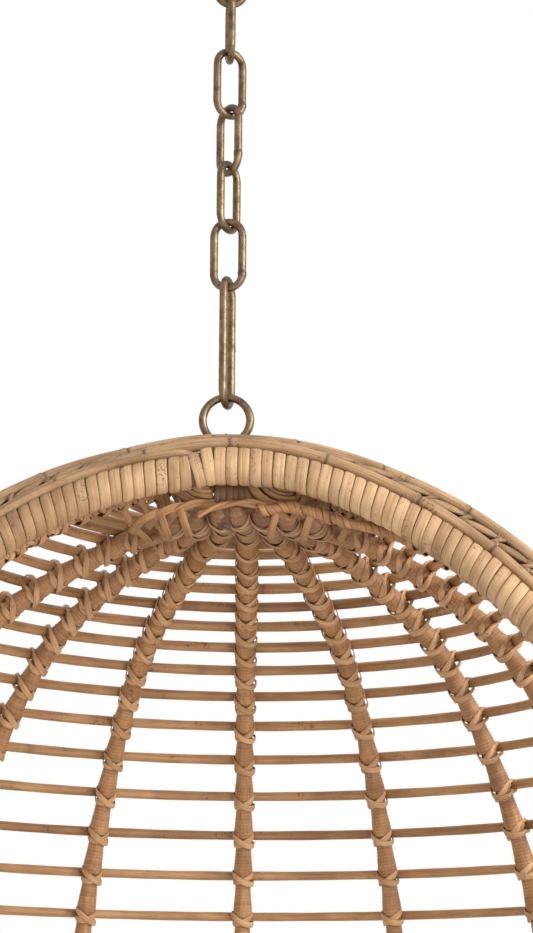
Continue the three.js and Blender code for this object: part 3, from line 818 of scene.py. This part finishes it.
def hub_block():
    bunch = Bunch()
    a = np.linspace(0, 2 * math.pi, 49)[:-1]
    outline = np.stack([40 * np.cos(a), 50 * np.sin(a)], -1)
    path = np.array([[RIM_X + CROWN_SHIFT, 78, z] for z in (-34, -32, -14, -12)], float)
    bunch.strand(path, (1, 0, 0), outline, scale=np.array([0.96, 1, 1, 0.96]), tone=0.3)
    bunch.build("crown_hub_block", "chair", CORE, "rib_cane", "crown_hub")


def hub_strips():
    """Strips drawn over the hub from front to back, painted dark as the shade inside the hub."""
    bunch = Bunch()
    for x in np.arange(-34, 52, 6.4):
        lean = (x - 8) * 0.06
        path = [[x + 4 * lean, 120, -37], [x + 2 * lean, 60, -37], [x, 30, -33], [x, 23, -26],
                [x - lean, 22, -14], [x - lean, 25, 4]]
        view_strip(bunch, np.array(path) + rng.normal(0, 0.5, 3), 7.0, 1.4, dark=0.8,
                   tone=rng.uniform(0, 0.4))
    bunch.build("crown_hub_strips", "chair", RIB, "rib_cane")


def hub_twist():
    """The twisted strand along the hub's lower edge."""
    bunch = Bunch()
    x = np.linspace(-27, 66, 90)
    for phase in (0, math.pi):
        y = 15 + 1.5 * np.sin(x / 9 + phase)
        z = -29 - 14 * ((x - 16) / 45) ** 2 + 1.5 * np.cos(x / 9 + phase)
        bunch.strand(np.stack([x, y, z], -1), (0, 1, 0), circle(2.5, 8), tone=rng.uniform(0.1, 0.5), dark=0.3)
    bunch.build("crown_twist", "chair", RIB, "rib_cane")


def curls(bunch):
    """Strips that curl round under the hoop on both sides of the hub."""
    for middle, rise, first in ((-20, -3, 5.0), (62, -1, 9.0)):
        for k in range(6):
            radius = first + 4.6 * k
            a = np.radians(np.linspace(160, 290, 20))
            path = np.stack([middle + radius * np.cos(a) * 1.2, 13 + 1.8 * k + 5 * np.cos(a),
                             rise + radius * np.sin(a)], -1)
            view_strip(bunch, path + rng.normal(0, 0.8, 3), 5.4, 1.4, tone=rng.uniform(0.1, 0.7), dark=0.35)


def end_straps(bunch):
    """Broad strips from the hoop over the ribs' ends and back under them."""
    for side in ("left", "right"):
        for k in range(12):
            line = rib_line(f"rib_{side}_{k % 3 + 1}")[0]
            end = line.at(18 + 9.0 * k + rng.uniform(-6, 6)) + [0, -9, -9]
            sine = (end[0] - RIM_X + rng.uniform(-26, 26)) / HALF_WIDTH
            start = rim(math.asin(max(-0.6, min(0.6, sine))), -9, HOOP_BACK - 16)
            middle = mix(start, end, 0.5) + [rng.uniform(-5, 5), -5, -6]
            under = end + [rng.uniform(-10, 10), 16, 0]
            view_strip(bunch, np.array([start + [0, 6, 10], start, middle, end, under]),
                       rng.uniform(7, 9.5), 1.5, tone=rng.uniform(0.2, 0.9), dark=0.3)


def loose_strips(bunch):
    """Strips across the ribs' ends, tucked in at both ends: long ones that fall away from the hub, and short
    steep ones across them."""
    t = np.linspace(-1, 1, 7)
    for side, first, last in ((-1, -36, -72), (1, 37, 103)):
        for k, middle in enumerate(np.linspace(first, last, 5)):
            reach, fall, bow = (side * 25, 10, 5) if k % 2 == 0 else (-side * 7, 21, -3)
            path = np.stack([middle + reach * t, 12 + k + 22 * np.abs(t) ** 3,
                             -36 - 2 * k - fall * t + bow * (1 - t**2)], -1)
            view_strip(bunch, path + rng.normal(0, 0.8, 3), rng.uniform(7.4, 9.2), 1.5,
                       tone=rng.uniform(0.1, 0.6), dark=0.46)


def bolt_cover(bunch):
    """Cane packed round the bolt, between the first two ribs' ends, painted fully dark as the shade in that
    recess.
    """
    for shift in (-2.5, 2.5):
        path = [(-1, 22, -24), (-1 + shift, 28, -36), (-1 + shift, 35, -45), (-2 + 2 * shift, 52, -48)]
        view_strip(bunch, np.array(path, float), 7.5, 1.4, tone=0.0, dark=1.0)


def hoop_rope(bunch):
    """The rope of cane under the right of the hoop."""
    share = np.linspace(0, 1, 70)
    angle = np.arcsin((mix(38, 196, share) - RIM_X) / HALF_WIDTH)
    low = -25.5 - 9 * (1 - smooth(share * 4)) + 13 * smooth(share * 2 - 1)
    wind(bunch, Line(rim(angle, low, mix(18, 27, share))), 4.4, 7.2, 6.8, 1.5, 2.2, segments=12, loose=0.5,
         tone=lambda s: rng.uniform(0.0, 0.3))


def hoop_ties(bunch):
    """Crossed ties round the shell hoop, on both sides of the hub."""
    for angle in np.radians(np.concatenate([np.arange(-29, -7, 2.8), np.arange(9, 31, 2.8)])):
        centre, along = rim_place(angle, -1, HOOP_BACK - 3)
        outward = np.array([0.0, 0.3, 0.95])
        outward = unit(outward - along * (outward @ along))
        cross_ties(bunch, centre, unit(np.cross(outward, along)), along, outward, 12.6, 7, 9, width=7, sag=2,
                   dark=0.2)


def crown_tangle():
    """The cane that binds the ribs' ends to the hoops on both sides of the hub."""
    bunch = Bunch()
    for lay in (curls, end_straps, loose_strips, bolt_cover, hoop_rope, hoop_ties):
        lay(bunch)
    bunch.build("crown_tangle", "chair", RIB, "rib_cane")


# ---- Metal ----
def link_path(width, length, steps=18):
    """The middle line of a link's wire, upright in its own plane; a ring where width and length agree."""
    radius, side = width / 2, (length - width) / 2
    a = np.linspace(0, math.pi, steps)
    run = np.linspace(side, -side, 14)[1:-1] if side > 1 else np.array([])
    top = np.stack([radius * np.cos(a), side + radius * np.sin(a)], -1)
    left = np.stack([np.full(len(run), -radius), run], -1)
    half = np.vstack([top, left]) if len(run) else top[:-1]
    both = np.vstack([half, -half])
    return np.stack([both[:, 0], np.zeros(len(both)), both[:, 1]], -1)


def chain_piece(name, body, turn, weld, width, length, top_wire):
    """A link or the ring. Its wire is a little worn at both ends, and thicker at its weld."""
    reach = length - WIRE
    line = Line(link_path(width - WIRE, reach), closed=True)
    s = np.linspace(0, line.length, 121)[:-1]
    path = line.at(s)
    for _ in range(2):
        path = (np.roll(path, 1, 0) + 2 * path + np.roll(path, -1, 0)) / 4
    worn = smooth((np.abs(path[:, 2]) - reach / 2 + 17) / 9)
    scale, dark = WIRE / 2 - WEAR * worn, np.zeros(len(s))
    if weld is not None:
        at = line.length * (0.75 + weld * 0.5 * length / line.length)
        scale += 0.75 * bump(s, at, 2.4) - 0.35 * bump(s, at, 0.9)
        dark += 0.8 * bump(s, at + 1.4, 1.1) + 0.4 * bump(s, at - 1.6, 1.0)
    a = math.radians(turn)
    spin = np.array([[math.cos(a), -math.sin(a), 0], [math.sin(a), math.cos(a), 0], [0, 0, 1]])
    bunch = Bunch(np.array([0, 0, top_wire - reach / 2]))
    bunch.strand(path @ spin.T, spin @ np.array([0, 1, 0]), circle(1.0, 18), closed=True, scale=scale,
                 tone=0.5, dark=dark)
    bunch.build(name + "_wire", body, BRONZE, "bronze", name)


def chain():
    top_wire = -HOOK_BOTTOM + (HOOK_WIRE + WIRE) / 2 + WIRE_GAP
    for name, body, turn, weld, width, length in CHAIN:
        chain_piece(name, body, turn, weld, width, length, top_wire)
        top_wire += WIRE + WIRE_GAP - (length - WIRE)


def turned(name, body, outline, sides, node, centre=(0, 0)):
    """A turned piece standing along Z, from an outline of radii and heights."""
    outline = np.asarray(outline, float)
    bunch = Bunch(np.array([centre[0], centre[1], 0.0]))
    a = np.arange(sides) / sides * 2 * math.pi
    ring = np.stack([np.cos(a), np.sin(a), 0 * a], -1)
    section = np.stack([outline[:, 1], outline[:, 0] - 10], -1)
    bunch.strand(ring * 10, (0, 0, 1), section, closed=True, tone=0.5)
    bunch.build(name, body, BRONZE, "bronze", node)


def rounded(corners, radius=0.8):
    """Corner points of an outline, each cut back so that its edge catches light."""
    corners = np.asarray(corners, float)
    points = []
    for i, p in enumerate(corners):
        before, after = corners[i - 1] - p, corners[(i + 1) % len(corners)] - p
        near = min(radius, np.linalg.norm(before) * 0.4, np.linalg.norm(after) * 0.4)
        a, b = p + unit(before) * near, p + unit(after) * near
        points += [a, (a + b + 2 * p) / 4, b]
    return np.array(points)


def ceiling_fitting():
    """The plate, the swivel's cup and four screws, whose heads stand below the plate."""
    plate = [(PIN, -PLATE_T), (PLATE_R, -PLATE_T), (PLATE_R, 0), (PIN, 0)]
    turned("ceiling_plate_disc", "ceiling_fitting", rounded(plate, 1.6), 96, "ceiling_plate")
    seat = -PLATE_T - PLAY
    bottom, bore, inside = seat - CUP_DEPTH, STEM_R + PLAY, CUP_R - CUP_WALL
    cup = [(bore, bottom), (CUP_R - CUP_CHAMFER, bottom), (CUP_R, bottom + CUP_CHAMFER), (CUP_R, seat),
           (inside, seat), (inside, bottom + CUP_WALL), (bore, bottom + CUP_WALL)]
    turned("swivel_cup_turned", "ceiling_fitting", rounded(cup), 64, "swivel_cup")
    under = seat - SCREW_HEAD_T
    tip = seat + SCREW_LENGTH
    screw = [(PIN, under), (2.2, under), (4.2, under + 0.9), (SCREW_HEAD_R, seat - 0.6), (SCREW_HEAD_R, seat),
             (SCREW_R, seat), (SCREW_R, tip - SCREW_POINT), (PIN, tip)]
    for i in range(4):
        a = math.radians(45 + 90 * i)
        turned(f"ceiling_screw_{i + 1}_turned", "ceiling_fitting", rounded(screw, 0.4), 32,
               f"ceiling_screw_{i + 1}", (SCREW_CIRCLE * math.cos(a), SCREW_CIRCLE * math.sin(a)))


def swivel_hook():
    """The open hook, with the headed stem that turns in the cup."""
    bunch = Bunch(np.zeros(3))
    stem = np.array([[0, 0, z] for z in np.linspace(-22, -44, 8)])
    a = np.linspace(math.pi / 2, math.pi / 2 + math.pi + math.radians(50), 40)
    bend = np.stack([0 * a, HOOK_R * np.cos(a), -HOOK_BOTTOM + HOOK_R + HOOK_R * np.sin(a)], -1)
    path = relax(np.vstack([stem, bend]), 4)
    size = np.full(len(path), HOOK_WIRE / 2)
    size[-3:] *= [0.96, 0.8, 0.45]
    bunch.strand(path, (1, 0, 0), circle(1.0, 18), scale=size, tone=0.5)
    head = np.array([[0, 0, -27.0], [0, 0, -26.4], [0, 0, -21.6], [0, 0, -21]])
    bunch.strand(head, (1, 0, 0), circle(10, 32), scale=np.array([0.93, 1, 1, 0.93]), tone=0.5)
    bunch.build("swivel_hook_wire", "swivel", BRONZE, "bronze", "swivel_hook")


def eye_bolt():
    bunch = Bunch()
    a = np.arange(40) / 40 * 2 * math.pi
    centre = RING_TO_HOOP + (WIRE + EYE_WIRE) / 2 + WIRE_GAP - EYE_R
    eye = np.stack([0 * a, HOOP_BACK + EYE_R * np.cos(a), centre + EYE_R * np.sin(a)], -1)
    bunch.strand(eye, (1, 0, 0), circle(EYE_WIRE / 2, 14), closed=True, tone=0.5)
    shank = np.array([[0, HOOP_BACK, z] for z in np.linspace(centre - 7, centre - 89.5, 12)])
    bunch.strand(shank, (1, 0, 0), circle(4, 20), tone=0.5)
    bunch.build("eye_bolt_wire", "chair", BRONZE, "bronze", "eye_bolt")
    # The washer and the nut are shown as in the CAD.
    for node in ("eye_bolt_washer", "eye_bolt_nut"):
        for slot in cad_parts[node].material_slots:
            slot.material = STEEL


front_hoop()
edge_poles()
edge_pole_filler()
edge_lacing()
groove_floor()
shell_hoop()
rods()
crown_rods()
ribs()
rod_end_ties()
hub_block()
hub_strips()
hub_twist()
crown_tangle()
chain()
ceiling_fitting()
swivel_hook()
eye_bolt()


# ---- Stage, light and camera ----
def staging():
    """A pale floor and an even white world, in metres."""
    half, level = 30.0, -2.35
    corners = [(-half, -half, level), (half, -half, level), (half, half, level), (-half, half, level)]
    mesh = bpy.data.meshes.new("floor")
    mesh.from_pydata(corners, [], [(0, 1, 2, 3)])
    t = Tree("pale_floor")
    place = t.nodes.new("ShaderNodeTexCoord").outputs["Object"]
    cloud = t.noise(place, (1.5, 1.5, 1.5), 3.0, 0.5)
    mesh.materials.append(t.finish(t.ramp(cloud, [(0.3, 0.905), (0.7, 0.915)]), 0.9, cloud, 0.01, 0.0005))
    floor = bpy.data.objects.new("floor", mesh)
    bpy.context.scene.collection.objects.link(floor)
    world = bpy.data.worlds.new("studio")
    world.use_nodes = True
    background = world.node_tree.nodes["Background"]
    background.inputs["Color"].default_value = (1, 1, 1, 1)
    background.inputs["Strength"].default_value = 1.0
    bpy.context.scene.world = world
    bpy.context.scene.view_settings.view_transform = "Standard"


def soft_light(name, place, target, size, power):
    data = bpy.data.lights.new(name, "AREA")
    data.shape, data.size, data.energy = "DISK", size, power
    lamp = bpy.data.objects.new(name, data)
    bpy.context.scene.collection.objects.link(lamp)
    aim = np.array(target, float) - np.array(place, float)
    lamp.matrix_world = look(place, aim)


def look(place, forward, roll=0.0):
    """A matrix whose -Z looks forward with +Z of the world upwards, rolled about the view."""
    forward = unit(np.asarray(forward, float))
    right = unit(np.cross(forward, [0, 0, 1]))
    up = np.cross(right, forward)
    c, s = math.cos(roll), math.sin(roll)
    right, up = c * right - s * up, s * right + c * up
    m = np.eye(4)
    m[:3, 0], m[:3, 1], m[:3, 2], m[:3, 3] = right, up, -forward, place
    return Matrix(m.tolist())


def camera():
    """The photo's view. The camera is pitched instead of shifted."""
    data = bpy.data.cameras.new("camera")
    data.sensor_width, data.lens = 36.0, 94.24
    data.clip_start, data.clip_end = 0.05, 100
    cam = bpy.data.objects.new("camera", data)
    bpy.context.scene.collection.objects.link(cam)
    yaw, pitch, roll = -0.0301, 0.2497, -0.0059
    forward = (math.sin(yaw) * math.cos(pitch), math.cos(yaw) * math.cos(pitch), math.sin(pitch))
    cam.matrix_world = look((0.1154, -2.442, -1.2827), forward, roll)
    bpy.context.scene.camera = cam


staging()
soft_light("key", (2.9, -1.6, 0.3), (0.1, 0, -0.9), 1.2, 115)
soft_light("front", (1.7, -3.2, -0.9), (0.1, 0.2, -1.1), 1.6, 38)
camera()
